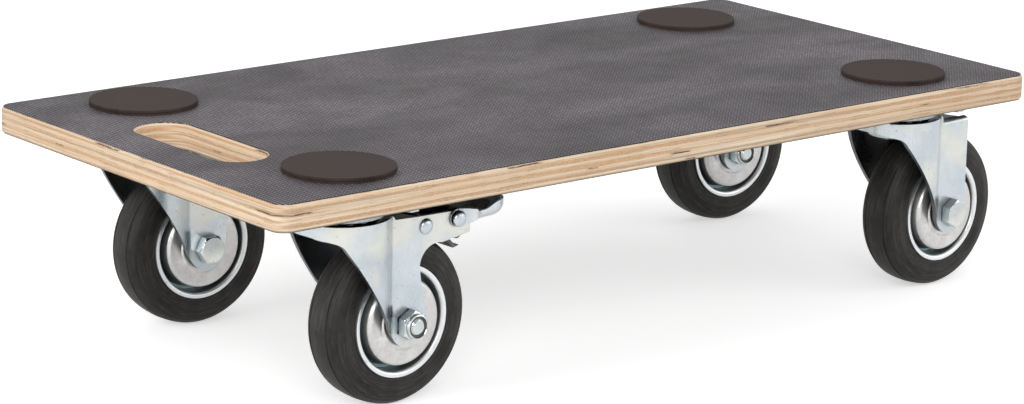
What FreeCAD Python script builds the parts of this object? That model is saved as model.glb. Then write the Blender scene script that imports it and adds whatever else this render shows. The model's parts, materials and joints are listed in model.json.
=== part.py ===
"""Platform trolley: a film-faced plywood deck on four swivel castors, two of them braked.

Frame: millimetres, +Z up, origin on the floor under the middle of the deck. -X is the end with the hand hole
(the front), -Y is the left side. Every castor trails towards +X, turned a degree or two as it would stand.
"""

import FreeCAD, Part
import math
import os

import Sketcher

os.makedirs("parts", exist_ok=True)
doc = FreeCAD.newDocument("PlatformTrolley")
vec = FreeCAD.Vector

# ---------------------------------------------------------------- driving dimensions, kept in a spreadsheet
SIZES = {
    # deck
    "deck_length": 580, "deck_width": 290, "deck_top": 140, "deck_underside": 124, "deck_corner_radius": 10,
    "top_film": 0.5, "bottom_film": 0.3, "deck_edge_ease": 1.0,
    "slot_length": 107, "slot_width": 35, "slot_from_end": 48,
    # grip pads
    "pad_radius": 32.5, "pad_height": 3.2, "pad_from_end": 74, "pad_from_side": 47, "pad_edge_ease": 0.5,
    # castor stations and mounting plate
    "castor_from_end": 73, "castor_from_side": 45,
    "turn_front_left": 2.3, "turn_front_right": -1.4, "turn_rear_left": 3.1, "turn_rear_right": -1.6,
    "bolt_turn_front_left": 0, "bolt_turn_front_right": 28, "bolt_turn_rear_left": 0, "bolt_turn_rear_right": 0,
    "plate_length": 86, "plate_width": 62, "plate_thick": 2.5, "plate_corner_radius": 7,
    "bolt_pitch_long": 66, "bolt_pitch_cross": 42, "slot_hole_radius": 3.4, "slot_hole_length": 12,
    "screw_radius": 2.5, "screw_depth": 11, "screw_head_flats": 10, "screw_head_height": 4.4,
    # swivel bearing
    "dome_radius": 26.5, "dome_drop": 5, "pin_radius": 6, "pin_head_radius": 10, "pin_tail_radius": 9,
    "upper_ball": 4.98, "upper_ball_ring": 20, "lower_ball": 3.98, "lower_ball_ring": 11.5,
    "cup_radius": 17, "cup_thick": 2.5, "swivel_gap": 0.1,
    # fork
    "fork_thick": 2.5, "web_top": 111.5, "rim_top": 115, "head_radius": 29.5, "leg_outer": 20.5,
    "leg_back": 47.5, "leg_end_radius": 13.5, "skirt_front": 108.8, "crease_radius": 5, "fork_bend": 3.5,
    # axle and wheel
    "trail": 34.5, "axle_height": 50, "axle_radius": 5, "axle_head_flats": 16, "axle_head_height": 6.4,
    "nut_height": 6.2, "nut_collar": 2.4, "nut_collar_radius": 7.6, "bolt_proud": 0.4,
    "sleeve_radius": 7.5, "sleeve_bore": 5.2, "hub_bore": 11, "hub_half": 17.2, "roller_radius": 1.6,
    "roller_length": 28, "rim_sheet": 1.6, "rim_seat": 31.2, "rim_lip": 32.8, "rim_lip_face": 14.2,
    "disc_face": 16.4, "disc_edge": 23.9, "tyre_radius": 50, "tyre_half_width": 13.5, "tread_groove": 0.7,
    # brake
    "ear_pin_along": 46, "ear_pin_height": 105, "pedal_pin_along": 69, "pedal_pin_height": 106.2,
    "brake_pin_radius": 3, "rivet_head_radius": 4.7, "rivet_head_height": 2.0,
    "cheek_inner": 20.8, "pedal_sheet": 1.6, "pedal_floor": 100.4, "pedal_rim": 108.4, "cheek_lobe": 5.6,
    "pedal_half_width": 16, "pedal_end_centre": 100.5,
    "shoe_gap": 4, "shoe_thick": 2, "shoe_half_width": 10, "cam_radius": 6.3, "cam_nose_radius": 4,
    "cam_nose_along": 3.66, "cam_nose_drop": 9.45, "cam_half_width": 16,
}
sheet = doc.addObject("Spreadsheet::Sheet", "Dims")
for row, (alias, value) in enumerate(SIZES.items(), start=1):
    sheet.set(f"A{row}", alias)
    sheet.set(f"B{row}", str(value))
    sheet.setAlias(f"B{row}", alias)
doc.recompute()


class Dim:
    """A length that carries its value and the spreadsheet expression it comes from."""

    def __init__(self, value, text):
        self.value = float(value)
        self.text = text

    @staticmethod
    def of(other):
        return other if isinstance(other, Dim) else Dim(other, repr(float(other)))

    def __add__(self, other):
        other = Dim.of(other)
        return Dim(self.value + other.value, f"({self.text} + {other.text})")

    def __sub__(self, other):
        other = Dim.of(other)
        return Dim(self.value - other.value, f"({self.text} - {other.text})")

    def __mul__(self, factor):
        return Dim(self.value * factor, f"({self.text} * {float(factor)!r})")

    def __neg__(self):
        return self * -1

    def __radd__(self, other):
        return Dim.of(other) + self

    def __rsub__(self, other):
        return Dim.of(other) - self


class Sizes:
    """Reads a spreadsheet alias as a Dim: S.deck_length."""

    def __getattr__(self, alias):
        return Dim(SIZES[alias], f"Dims.{alias}")


S = Sizes()
ZERO = Dim(0, "0.0")


class Bend:
    """In an outline, joins the point before to the point after by an arc. turn is +1 for anticlockwise."""

    def __init__(self, radius, turn, major=False):
        self.radius, self.turn, self.major = Dim.of(radius), turn, major


def bind(obj, prop, size):
    """Sets a property from a Dim, by expression."""
    obj.setExpression(prop, Dim.of(size).text)


# ---------------------------------------------------------------- sketches
def arc_through(start, end, bend):
    """The arc from start to end that a Bend describes."""
    chord = end - start
    left = vec(-chord.y, chord.x, 0).normalize()
    away = math.sqrt(max(bend.radius.value**2 - (chord.Length / 2) ** 2, 0.0))
    side = -bend.turn if bend.major else bend.turn
    centre = (start + end) * 0.5 + left * (side * away)
    middle = centre - left * (bend.turn * bend.radius.value)
    return Part.Arc(start, middle, end)


def hold(sketch, geo, point, axis, size):
    """Holds one point of a sketch curve at a coordinate: axis 0 is across, axis 1 is up."""
    size = Dim.of(size)
    if abs(size.value) < 1e-9:
        sketch.addConstraint(Sketcher.Constraint("PointOnObject", geo, point, (-2, -1)[axis]))
        return
    kind = ("DistanceX", "DistanceY")[axis]
    which = sketch.addConstraint(Sketcher.Constraint(kind, -1, 1, geo, point, size.value))
    bind(sketch, f"Constraints[{which}]", size)


def hold_radius(sketch, geo, radius):
    """Holds an arc's or a circle's radius."""
    which = sketch.addConstraint(Sketcher.Constraint("Radius", geo, radius.value))
    bind(sketch, f"Constraints[{which}]", radius)


def draw(sketch, items):
    """Draws one closed outline of points and Bends, every point held at its spreadsheet coordinates."""
    points, joins = [], []
    for item in items:
        if isinstance(item, Bend):
            joins[-1] = item
        else:
            points.append((Dim.of(item[0]), Dim.of(item[1])))
            joins.append(None)
    places = [vec(x.value, y.value, 0) for x, y in points]
    ends = []
    for i, join in enumerate(joins):
        after = (i + 1) % len(places)
        start, end = places[i], places[after]
        shape = Part.LineSegment(start, end) if join is None else arc_through(start, end, join)
        geo = sketch.addGeometry(shape, False)
        first = 1 if (sketch.getPoint(geo, 1) - start).Length < 1e-6 else 2
        ends.append((geo, first, 3 - first))
        if join is None:
            continue
        chord = end - start
        if abs(chord.Length - 2 * join.radius.value) > 1e-6:
            hold_radius(sketch, geo, join.radius)
            continue
        free_axis = 0 if abs(chord.y) > abs(chord.x) else 1
        hold(sketch, geo, 3, free_axis, (points[i][free_axis] + points[after][free_axis]) * 0.5)
    for i, (geo, first, _) in enumerate(ends):
        before, _, before_end = ends[i - 1]
        sketch.addConstraint(Sketcher.Constraint("Coincident", before, before_end, geo, first))
        for axis in (0, 1):
            hold(sketch, geo, first, axis, points[i][axis])


def body_sketch(body, name, plane, outlines, height=None):
    """A sketch on one of a body's origin planes, raised by height along the plane's normal."""
    sketch = body.newObject("Sketcher::SketchObject", name)
    origin_plane = next(f for f in body.Origin.OriginFeatures if f.Role == plane)
    sketch.AttachmentSupport = [(origin_plane, "")]
    sketch.MapMode = "FlatFace"
    if height is not None:
        bind(sketch, "AttachmentOffset.Base.z", height)
    for outline in outlines:
        draw(sketch, outline)
    return sketch


def padded(body, name, outlines, height, length):
    """A Pad of outlines drawn on the XY plane at a height, going up by length."""
    sketch = body_sketch(body, name + "Sketch", "XY_Plane", outlines, height)
    pad = body.newObject("PartDesign::Pad", name)
    pad.Profile = sketch
    bind(pad, "Length", length)
    doc.recompute()
    return pad


def pocketed(body, name, outlines, height, length):
    """A Pocket of outlines drawn on the XY plane at a height, going down by length."""
    sketch = body_sketch(body, name + "Sketch", "XY_Plane", outlines, height)
    before = body.Shape.Volume
    pocket = body.newObject("PartDesign::Pocket", name)
    pocket.Profile = sketch
    bind(pocket, "Length", length)
    doc.recompute()
    if body.Shape.Volume >= before:
        raise RuntimeError(f"{body.Label}: {name} cuts nothing")
    return pocket


def revolved(label, plane, outline):
    """A body turned about its vertical sketch axis: XY_Plane turns about Y, XZ_Plane about Z."""
    body = doc.addObject("PartDesign::Body", label)
    body.Label = label
    sketch = body_sketch(body, label + "Profile", plane, [outline])
    turn = body.newObject("PartDesign::Revolution", label + "Turn")
    turn.Profile = sketch
    turn.ReferenceAxis = (sketch, ["V_Axis"])
    turn.Angle = 360
    return body


def rectangle(x_mid, y_mid, x_size, y_size, radius=None):
    """A rectangle outline about a middle point, with rounded corners if a radius is given."""
    x_low, x_high = x_mid - x_size * 0.5, x_mid + x_size * 0.5
    y_low, y_high = y_mid - y_size * 0.5, y_mid + y_size * 0.5
    if radius is None:
        return [(x_low, y_low), (x_high, y_low), (x_high, y_high), (x_low, y_high)]
    corner = Bend(radius, 1)
    return [
        (x_low + radius, y_low), (x_high - radius, y_low), corner,
        (x_high, y_low + radius), (x_high, y_high - radius), corner,
        (x_high - radius, y_high), (x_low + radius, y_high), corner,
        (x_low, y_high - radius), (x_low, y_low + radius), corner,
    ]


def stadium(x_mid, y_mid, length, width, along_x):
    """A round-ended slot outline."""
    half, reach, end = width * 0.5, (length - width) * 0.5, Bend(width * 0.5, 1)
    if along_x:
        return [
            (x_mid - reach, y_mid - half), (x_mid + reach, y_mid - half), end,
            (x_mid + reach, y_mid + half), (x_mid - reach, y_mid + half), end,
        ]
    return [
        (x_mid + half, y_mid - reach), (x_mid + half, y_mid + reach), end,
        (x_mid - half, y_mid + reach), (x_mid - half, y_mid - reach), end,
    ]


# ---------------------------------------------------------------- Part primitives and booleans
def cylinder(name, radius, length, base, axis=vec(0, 0, 1)):
    """A Part::Cylinder from base along an axis. base is three sizes."""
    made = doc.addObject("Part::Cylinder", name)
    bind(made, "Radius", radius)
    bind(made, "Height", length)
    place(made, base, axis)
    return made


def hexagon(name, flats, length, base, axis=vec(0, 0, 1)):
    """A hexagonal Part::Prism of a width across flats."""
    made = doc.addObject("Part::Prism", name)
    made.Polygon = 6
    bind(made, "Circumradius", flats * (1 / math.sqrt(3)))
    bind(made, "Height", length)
    place(made, base, axis)
    return made


def place(obj, base, axis=vec(0, 0, 1)):
    """Puts a primitive's base at three sizes, its Z turned to an axis, bound to the sheet."""
    obj.Placement.Rotation = FreeCAD.Rotation(vec(0, 0, 1), axis)
    for letter, size in zip("xyz", base):
        bind(obj, f"Placement.Base.{letter}", size)


def fused(name, shapes):
    made = doc.addObject("Part::MultiFuse", name)
    made.Shapes = shapes
    made.Refine = True
    return made


def cut(name, base, tool):
    made = doc.addObject("Part::Cut", name)
    made.Base = base
    made.Tool = tool
    return made


def compound(name, shapes):
    made = doc.addObject("Part::Compound", name)
    made.Links = shapes
    return made


def slab(name, plane, outlines, start, length):
    """A free sketch extruded from start: plane XY goes up Z, plane XZ goes along +Y and plane YZ along +X."""
    sketch = doc.addObject("Sketcher::SketchObject", name + "Sketch")
    for outline in outlines:
        draw(sketch, outline)
    made = doc.addObject("Part::Extrusion", name)
    made.Base = sketch
    made.DirMode = "Custom"
    made.Solid = True
    bind(made, "LengthFwd", length)
    along, turn, letter = {
        "XY": (vec(0, 0, 1), FreeCAD.Rotation(), "z"),
        "XZ": (vec(0, 1, 0), FreeCAD.Rotation(vec(1, 0, 0), 90), "y"),
        "YZ": (vec(1, 0, 0), FreeCAD.Rotation(vec(1, 1, 1), 120), "x"),
    }[plane]
    made.Dir = along
    sketch.Placement.Rotation = turn
    bind(sketch, f"Placement.Base.{letter}", start)
    return made


def bent(name, base, radius, chosen):
    """A Part::Fillet on the edges that chosen(edge) picks."""
    doc.recompute()
    numbers = [i + 1 for i, edge in enumerate(base.Shape.Edges) if chosen(edge)]
    if not numbers:
        raise RuntimeError(f"{name}: no edge to round")
    made = doc.addObject("Part::Fillet", name)
    made.Base = base
    made.Edges = [(n, radius.value, radius.value) for n in numbers]
    return made


# ---------------------------------------------------------------- finished sub-parts
finished = []


def finish(obj, label, placement=None):
    """Names a finished sub-part and puts it in its place."""
    obj.Label = label
    if placement is not None:
        obj.Placement = placement
    finished.append(obj)
    return obj


# ---------------------------------------------------------------- deck
def deck_outline(inset):
    """The deck's outline, set in from the finished edge."""
    return rectangle(ZERO, ZERO, S.deck_length - inset * 2, S.deck_width - inset * 2, S.deck_corner_radius - inset)


def hand_hole(grow):
    """The hand hole's outline, grown by an amount all round."""
    x_mid = S.slot_from_end - S.deck_length * 0.5
    return stadium(x_mid, ZERO, S.slot_length + grow * 2, S.slot_width + grow * 2, False)


def castor_stations():
    """Each castor's name, its place on the deck, the angle it rests at and whether it has a brake."""
    x, y = S.deck_length * 0.5 - S.castor_from_end, S.deck_width * 0.5 - S.castor_from_side
    return [
        ("front_left", -x, -y, S.turn_front_left, True),
        ("front_right", -x, y, S.turn_front_right, False),
        ("rear_left", x, -y, S.turn_rear_left, False),
        ("rear_right", x, y, S.turn_rear_right, True),
    ]


def screw_points():
    """Where the sixteen plate screws go: four round each castor's swivel axis."""
    long_half, cross_half = S.bolt_pitch_long * 0.5, S.bolt_pitch_cross * 0.5
    return [
        (x + long_half * i, y + cross_half * j)
        for _, x, y, _, _ in castor_stations()
        for i in (-1, 1)
        for j in (-1, 1)
    ]


def build_deck():
    """The plywood panel, eased along its edges, with the hand hole and the screws' pilot holes."""
    core_bottom, core_top = S.deck_underside + S.bottom_film, S.deck_top - S.top_film
    board = doc.addObject("PartDesign::Body", "DeckBoard")
    padded(board, "Panel", [deck_outline(ZERO)], core_bottom, core_top - core_bottom)
    panel = pocketed(board, "HandHole", [hand_hole(ZERO)], core_top, core_top - core_bottom)
    flat_edges = [
        f"Edge{i + 1}"
        for i, edge in enumerate(panel.Shape.Edges)
        if abs(edge.BoundBox.ZLength) < 1e-6
    ]
    ease = board.newObject("PartDesign::Chamfer", "EdgeEase")
    ease.Base = (panel, flat_edges)
    bind(ease, "Size", S.deck_edge_ease)
    doc.recompute()
    pilots = body_sketch(board, "PilotSketch", "XY_Plane", [], core_bottom)
    for x, y in screw_points():
        geo = pilots.addGeometry(Part.Circle(vec(x.value, y.value, 0), vec(0, 0, 1), S.screw_radius.value), False)
        hold(pilots, geo, 3, 0, x)
        hold(pilots, geo, 3, 1, y)
        hold_radius(pilots, geo, S.screw_radius)
    holes = board.newObject("PartDesign::Pocket", "PilotHoles")
    holes.Profile = pilots
    holes.Reversed = True
    bind(holes, "Length", S.screw_depth - S.plate_thick - S.bottom_film + 0.5)
    finish(board, "deck_board")

    top = doc.addObject("PartDesign::Body", "TopFilm")
    padded(top, "Film", [deck_outline(S.deck_edge_ease), hand_hole(S.deck_edge_ease)], core_top, S.top_film)
    finish(top, "anti_slip_top_film")

    under = doc.addObject("PartDesign::Body", "UnderFilm")
    rim = [deck_outline(S.deck_edge_ease), hand_hole(S.deck_edge_ease)]
    padded(under, "Film", rim, S.deck_underside, S.bottom_film)
    clear = doc.addObject("Part::MultiFuse", "FilmPiercings")
    clear.Shapes = [
        cylinder("FilmPiercing", S.screw_radius, S.bottom_film + 2, (x, y, S.deck_underside - 1))
        for x, y in screw_points()
    ]
    finish(cut("UnderFilmPierced", under, clear), "underside_film")


def build_pads():
    """Four rubber grip pads, one over each castor, with a small rounded upper edge."""
    x, y = S.deck_length * 0.5 - S.pad_from_end, S.deck_width * 0.5 - S.pad_from_side
    ease = S.pad_edge_ease
    pads = []
    for i, j in ((-1, -1), (-1, 1), (1, -1), (1, 1)):
        pad = revolved(f"GripPad{len(pads)}", "XZ_Plane", [
            (ZERO, ZERO), (S.pad_radius, ZERO), (S.pad_radius, S.pad_height - ease), Bend(ease, 1),
            (S.pad_radius - ease, S.pad_height), (ZERO, S.pad_height),
        ])
        place(pad, (x * i, y * j, S.deck_top))
        pads.append(pad)
    finish(compound("GripPads", pads), "grip_pads")


def build_screws():
    """Sixteen hexagon-head screws, driven up through the mounting plates into the deck."""
    head_top = S.deck_underside - S.plate_thick
    screws = []
    for x, y in screw_points():
        shank = cylinder("ScrewShank", S.screw_radius, S.screw_depth, (x, y, head_top))
        flange = cylinder("ScrewFlange", S.screw_head_flats * 0.6, 1.0, (x, y, head_top - 1.0))
        head = hexagon("ScrewHead", S.screw_head_flats, S.screw_head_height, (x, y, head_top - S.screw_head_height))
        screws.append(fused("Screw", [shank, flange, head]))
    finish(compound("PlateScrews", screws), "plate_screws")


# ---------------------------------------------------------------- castor: mounting plate and swivel bearing
def build_plate(name, where):
    """The mounting plate, with four slotted holes and the round dome pressed down to carry the balls."""
    under = S.deck_underside - S.plate_thick
    flat = slab("PlateFlat", "XY", [
        rectangle(ZERO, ZERO, S.plate_length, S.plate_width, S.plate_corner_radius),
    ], under, S.plate_thick)
    dome = revolved("PlateDome", "XZ_Plane", [
        (S.pin_radius, under - S.dome_drop), (S.dome_radius, under - S.dome_drop), (S.dome_radius, under + 1),
        (S.dome_radius - S.plate_thick, under + 1),
        (S.dome_radius - S.plate_thick, under - S.dome_drop + S.plate_thick),
        (S.pin_radius, under - S.dome_drop + S.plate_thick),
    ])
    hollow = cylinder("PlateHollow", S.dome_radius - S.plate_thick, S.plate_thick + 2, (ZERO, ZERO, under - 1))
    slots = [
        slab("PlateSlot", "XY", [
            stadium(S.bolt_pitch_long * (0.5 * i), S.bolt_pitch_cross * (0.5 * j),
                    S.slot_hole_length, S.slot_hole_radius * 2, True),
        ], under - 1, S.plate_thick + 2)
        for i in (-1, 1)
        for j in (-1, 1)
    ]
    pierced = cut("PlatePierced", flat, fused("PlateOpenings", [hollow] + slots))
    finish(fused("Plate", [pierced, dome]), f"{name}_mounting_plate", where)


def build_king_pin(name, where):
    """The riveted king pin that ties the fork and the lower cup to the plate."""
    seat = S.deck_underside - S.dome_drop
    cup_bottom = S.web_top - S.fork_thick - S.lower_ball - 0.02 - S.cup_thick
    pin = revolved("KingPin", "XZ_Plane", [
        (ZERO, cup_bottom - 2.5), (S.pin_tail_radius - 1.5, cup_bottom - 2.5), (S.pin_tail_radius, cup_bottom - 1),
        (S.pin_tail_radius, cup_bottom), (S.pin_radius, cup_bottom), (S.pin_radius, seat),
        (S.pin_head_radius, seat), (S.pin_head_radius, seat + 2), (S.pin_head_radius - 2, seat + 3),
        (ZERO, seat + 3),
    ])
    finish(pin, f"{name}_king_pin", where)


def build_lower_cup(name, where):
    """The lower ball cup, held on the king pin under the fork."""
    top = S.web_top - S.fork_thick - S.lower_ball - 0.02
    cup = revolved("LowerCup", "XZ_Plane", [
        (S.pin_radius, top - S.cup_thick), (S.cup_radius - 1.5, top - S.cup_thick), Bend(1.5, 1),
        (S.cup_radius, top - S.cup_thick + 1.5), (S.cup_radius, top + 2.6), (S.cup_radius - 1.6, top + 2.6),
        (S.cup_radius - 1.6, top), (S.pin_radius, top),
    ])
    finish(cup, f"{name}_lower_ball_cup", where)


def build_balls(name, where):
    """The two rings of bearing balls, above and below the fork's web."""
    upper_height = S.web_top + S.upper_ball * 0.5 + 0.01
    lower_height = S.web_top - S.fork_thick - S.lower_ball * 0.5 - 0.01
    balls = []
    for size, ring, height, count in (
        (S.upper_ball, S.upper_ball_ring, upper_height, 16),
        (S.lower_ball, S.lower_ball_ring, lower_height, 12),
    ):
        for i in range(count):
            angle = 2 * math.pi * i / count
            ball = doc.addObject("Part::Sphere", "Ball")
            bind(ball, "Radius", size * 0.5)
            place(ball, (ring * math.cos(angle), ring * math.sin(angle), height))
            balls.append(ball)
    finish(compound("Balls", balls), f"{name}_bearing_balls", where)


# ---------------------------------------------------------------- castor: fork
def fork_plan(inset):
    """Half the fork seen from above, as sizes: the head's radius, the legs' half width, where the crease between
    them meets the leg and the head, and the crease's radius."""
    radius, half, crease = S.head_radius - inset, S.leg_outer - inset, S.crease_radius + inset
    centre_y = half.value + crease.value
    centre_x = math.sqrt((radius.value + crease.value) ** 2 - centre_y**2)
    shrink = radius.value / (radius.value + crease.value)
    return radius, half, centre_x, (centre_x * shrink, centre_y * shrink), crease


def build_fork(name, where, braked):
    """The pressed fork: round skirted head, flat web, and two legs that taper to the axle."""
    outer_radius, outer, outer_start, (outer_x, outer_y), outer_crease = fork_plan(ZERO)
    inner_radius, inner, inner_start, (inner_x, inner_y), inner_crease = fork_plan(S.fork_thick)
    low = S.axle_height - S.leg_end_radius
    head = [
        (outer_start, outer), Bend(outer_crease, -1), (outer_x, outer_y), Bend(outer_radius, 1, True),
        (outer_x, -outer_y), Bend(outer_crease, -1), (outer_start, -outer),
    ]
    walls = slab("ForkWalls", "XY", [[
        (S.leg_back + 40, -outer), (S.leg_back + 40, -inner), (inner_start, -inner), Bend(inner_crease, 1),
        (inner_x, -inner_y), Bend(inner_radius, -1, True), (inner_x, inner_y), Bend(inner_crease, 1),
        (inner_start, inner), (S.leg_back + 40, inner), (S.leg_back + 40, outer),
    ] + head], low, S.rim_top - low)
    head_back = S.head_radius - 6
    slope = math.radians(33.2)
    round_end = [
        (S.trail + S.leg_end_radius, S.axle_height), Bend(S.leg_end_radius, -1),
        (S.trail, low), Bend(S.leg_end_radius, -1),
        (S.trail - S.leg_end_radius * math.cos(slope), S.axle_height - S.leg_end_radius * math.sin(slope)),
    ]
    front = [
        (-14.6, 100.6), Bend(9, 1), (-19.6, 105.4), (-S.head_radius - 1, S.skirt_front),
        (-S.head_radius - 1, S.rim_top), (head_back - 3, S.rim_top), Bend(3.5, -1),
    ]
    if braked:
        back = [
            (head_back, S.web_top + 0.8), (S.ear_pin_along - 6, S.web_top), (S.pedal_pin_along, S.web_top - 0.8),
            Bend(9, -1), (S.pedal_pin_along + 10, 102.5), (S.pedal_pin_along + 9.8, 98.0), Bend(1.5, -1),
            (S.pedal_pin_along + 8.2, 96.4), (S.ear_pin_along + 12, 93.9), Bend(13, 1), (S.leg_back - 5.7, 82.5),
            Bend(120, 1), (S.leg_back - 0.4, 57.0),
        ]
    else:
        back = [
            (head_back, S.web_top), (S.leg_back - 2.5, S.web_top), Bend(2.5, -1), (S.leg_back, S.web_top - 2.5),
            (S.leg_back, 57.0),
        ]
    outline = front + back + round_end
    side = slab("ForkSide", "XZ", [outline], -S.head_radius - 1, S.head_radius * 2 + 2)
    legs = doc.addObject("Part::Common", "ForkLegs")
    legs.Base, legs.Tool = walls, side
    web_end = S.leg_back - 6
    web = slab("ForkWeb", "XY", [
        [(web_end, -outer), Bend(S.head_radius + 14, -1), (web_end, outer)] + head,
    ], S.web_top - S.fork_thick, S.fork_thick)
    pressed = fused("ForkPressed", [legs, web])

    bore = cylinder("ForkPinHole", S.pin_radius + S.swivel_gap, 20, (ZERO, ZERO, S.web_top - 10))
    reach = S.leg_outer + 1
    axis = vec(0, 1, 0)
    holes = [bore, cylinder("ForkAxleHole", S.axle_radius + 0.1, reach * 2, (S.trail, -reach, S.axle_height), axis)]
    if not braked:
        bend, top = S.fork_bend, S.web_top
        for side in (1, -1):
            holes.append(slab("ForkTopBend", "YZ", [[
                ((outer + 1) * side, top + 1), ((outer - bend) * side, top + 1), ((outer - bend) * side, top),
                Bend(bend, -side), (outer * side, top - bend), ((outer + 1) * side, top - bend),
            ]], head_back, S.leg_back + 1 - head_back))
    else:
        for along, height in ((S.ear_pin_along, S.ear_pin_height), (S.pedal_pin_along, S.pedal_pin_height)):
            holes.append(cylinder("ForkRivetHole", S.brake_pin_radius, reach * 2, (along, -reach, height), axis))
    finish(cut("Fork", pressed, fused("ForkHoles", holes)), f"{name}_fork", where)


# ---------------------------------------------------------------- castor: axle and wheel, turned about local Y
def build_axle(name, where, head_side):
    """The hexagon axle bolt, its collar nut and the spacer sleeve. head_side is +1 with the head towards +Y."""
    out = vec(0, head_side, 0)
    face = S.leg_outer * head_side
    tail = S.leg_outer + S.nut_height + S.nut_collar + S.bolt_proud
    shank = cylinder("BoltShank", S.axle_radius, S.leg_outer + tail, (ZERO, -tail * head_side, ZERO), out)
    head = hexagon("BoltHeadHex", S.axle_head_flats, S.axle_head_height, (ZERO, face, ZERO), out)
    chamfer = doc.addObject("Part::Cone", "BoltHeadCone")
    bind(chamfer, "Radius1", S.axle_head_flats * 0.5 + 6)
    bind(chamfer, "Radius2", S.axle_head_flats * 0.5 - 0.4)
    bind(chamfer, "Height", S.axle_head_height)
    place(chamfer, (ZERO, face, ZERO), out)
    cap = doc.addObject("Part::Common", "BoltHead")
    cap.Base, cap.Tool = head, chamfer
    finish(fused("AxleBolt", [shank, cap]), f"{name}_axle_bolt", where)

    nut_face = -S.leg_outer * head_side
    flats = hexagon("NutHex", S.axle_head_flats, S.nut_height, (ZERO, nut_face, ZERO), -out)
    collar_base = nut_face - S.nut_height * head_side
    collar = cylinder("NutCollar", S.nut_collar_radius, S.nut_collar, (ZERO, collar_base, ZERO), -out)
    thread = cylinder("NutThread", S.axle_radius, S.nut_height + 2, (ZERO, nut_face + Dim.of(head_side), ZERO), -out)
    recess = cylinder("NutRecess", S.axle_radius + 1.3, S.nut_collar + 1, (ZERO, collar_base, ZERO), -out)
    nut = cut("AxleNut", fused("NutSolid", [flats, collar]), fused("NutBore", [thread, recess]))
    finish(nut, f"{name}_axle_nut", where)

    inner = S.leg_outer - S.fork_thick
    sleeve = revolved("Sleeve", "XY_Plane", [
        (S.sleeve_bore, -inner), (S.sleeve_radius, -inner), (S.sleeve_radius, inner), (S.sleeve_bore, inner),
    ])
    finish(sleeve, f"{name}_axle_sleeve", where)


def build_roller_bearing(name, where):
    """The roller cage with eight rollers that runs between the sleeve and the hub."""
    half = S.hub_half - 1
    cage = revolved("Cage", "XY_Plane", [
        (S.sleeve_radius + 0.15, -half), (S.hub_bore - 0.1, -half), (S.hub_bore - 0.1, half),
        (S.sleeve_radius + 0.15, half),
    ])
    ring = (S.sleeve_radius + S.hub_bore) * 0.5
    pockets, rollers = [], []
    for i in range(8):
        angle = 2 * math.pi * i / 8
        x, z = ring * math.cos(angle), ring * math.sin(angle)
        start = -S.roller_length * 0.5
        slot = cylinder("CagePocket", S.roller_radius + 0.15, S.roller_length + 0.4, (x, start - 0.2, z), vec(0, 1, 0))
        pockets.append(slot)
        rollers.append(cylinder("Roller", S.roller_radius, S.roller_length, (x, start, z), vec(0, 1, 0)))
    finish(compound("RollerBearing", [cut("CageCut", cage, fused("CagePockets", pockets))] + rollers),
           f"{name}_roller_bearing", where)


def build_rim(name, where):
    """Two identical pressed discs, back to back, that clamp the tyre between their lips."""
    sheet_thick = S.rim_sheet
    halves = []
    for side in (1, -1):
        outer = [
            (S.hub_bore, S.hub_half), (S.hub_bore + 4.2, S.hub_half), (S.hub_bore + 5.0, S.disc_face),
            (S.disc_edge, S.disc_face), Bend(1.8, -1), (S.disc_edge + 1.6, S.disc_face - 1.6),
            (S.disc_edge + 2.3, sheet_thick + 1.2), Bend(1.2, 1), (S.disc_edge + 3.4, sheet_thick),
            (S.rim_seat - 2.8, sheet_thick), Bend(1.2, 1), (S.rim_seat - 1.6, sheet_thick + 1.2),
            (S.rim_seat - 1.6, S.rim_lip_face - 1.4), Bend(1.4, -1), (S.rim_seat - 0.2, S.rim_lip_face),
            (S.rim_lip - 0.8, S.rim_lip_face), Bend(0.8, -1), (S.rim_lip, S.rim_lip_face - 0.8),
        ]
        inner = [
            (S.rim_lip, S.rim_lip_face - sheet_thick), (S.rim_seat, S.rim_lip_face - sheet_thick),
            (S.rim_seat, ZERO), (S.disc_edge + 0.6, ZERO), (S.disc_edge - 0.2, S.disc_face - sheet_thick),
            (S.hub_bore + sheet_thick, S.disc_face - sheet_thick), (S.hub_bore + sheet_thick, ZERO),
            (S.hub_bore, ZERO),
        ]
        flipped = [
            Bend(p.radius, p.turn * side) if isinstance(p, Bend) else (p[0], p[1] * side)
            for p in outer + inner
        ]
        halves.append(revolved("RimHalf", "XY_Plane", flipped))
    finish(compound("Rim", halves), f"{name}_rim_halves", where)


def build_tyre(name, where):
    """The solid rubber tyre: flat flanks, rounded shoulders and a crowned tread with two grooves."""
    flank, groove = S.tyre_half_width, S.tread_groove
    seat_half = S.rim_lip_face - S.rim_sheet
    half = [
        (S.rim_seat, seat_half), (S.rim_lip + 0.6, seat_half), (S.rim_lip + 1.6, flank - 0.3),
        (S.tyre_radius - 9.5, flank), Bend(14, -1), (S.tyre_radius - 2.0, flank - 3.0), Bend(6, -1),
        (S.tyre_radius - 0.75, flank - 5.6), (S.tyre_radius - 0.75 - groove, flank - 6.0),
        (S.tyre_radius - 0.55 - groove, flank - 7.0), (S.tyre_radius - 0.4, flank - 7.4),
    ]
    crown = Bend(46, -1)
    other = []
    for i in range(len(half) - 1, -1, -1):
        item = half[i]
        other.append(item if isinstance(item, Bend) else (item[0], item[1] * -1))
    tyre = revolved("Tyre", "XY_Plane", half + [crown] + other)
    finish(tyre, f"{name}_tyre", where)


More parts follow.
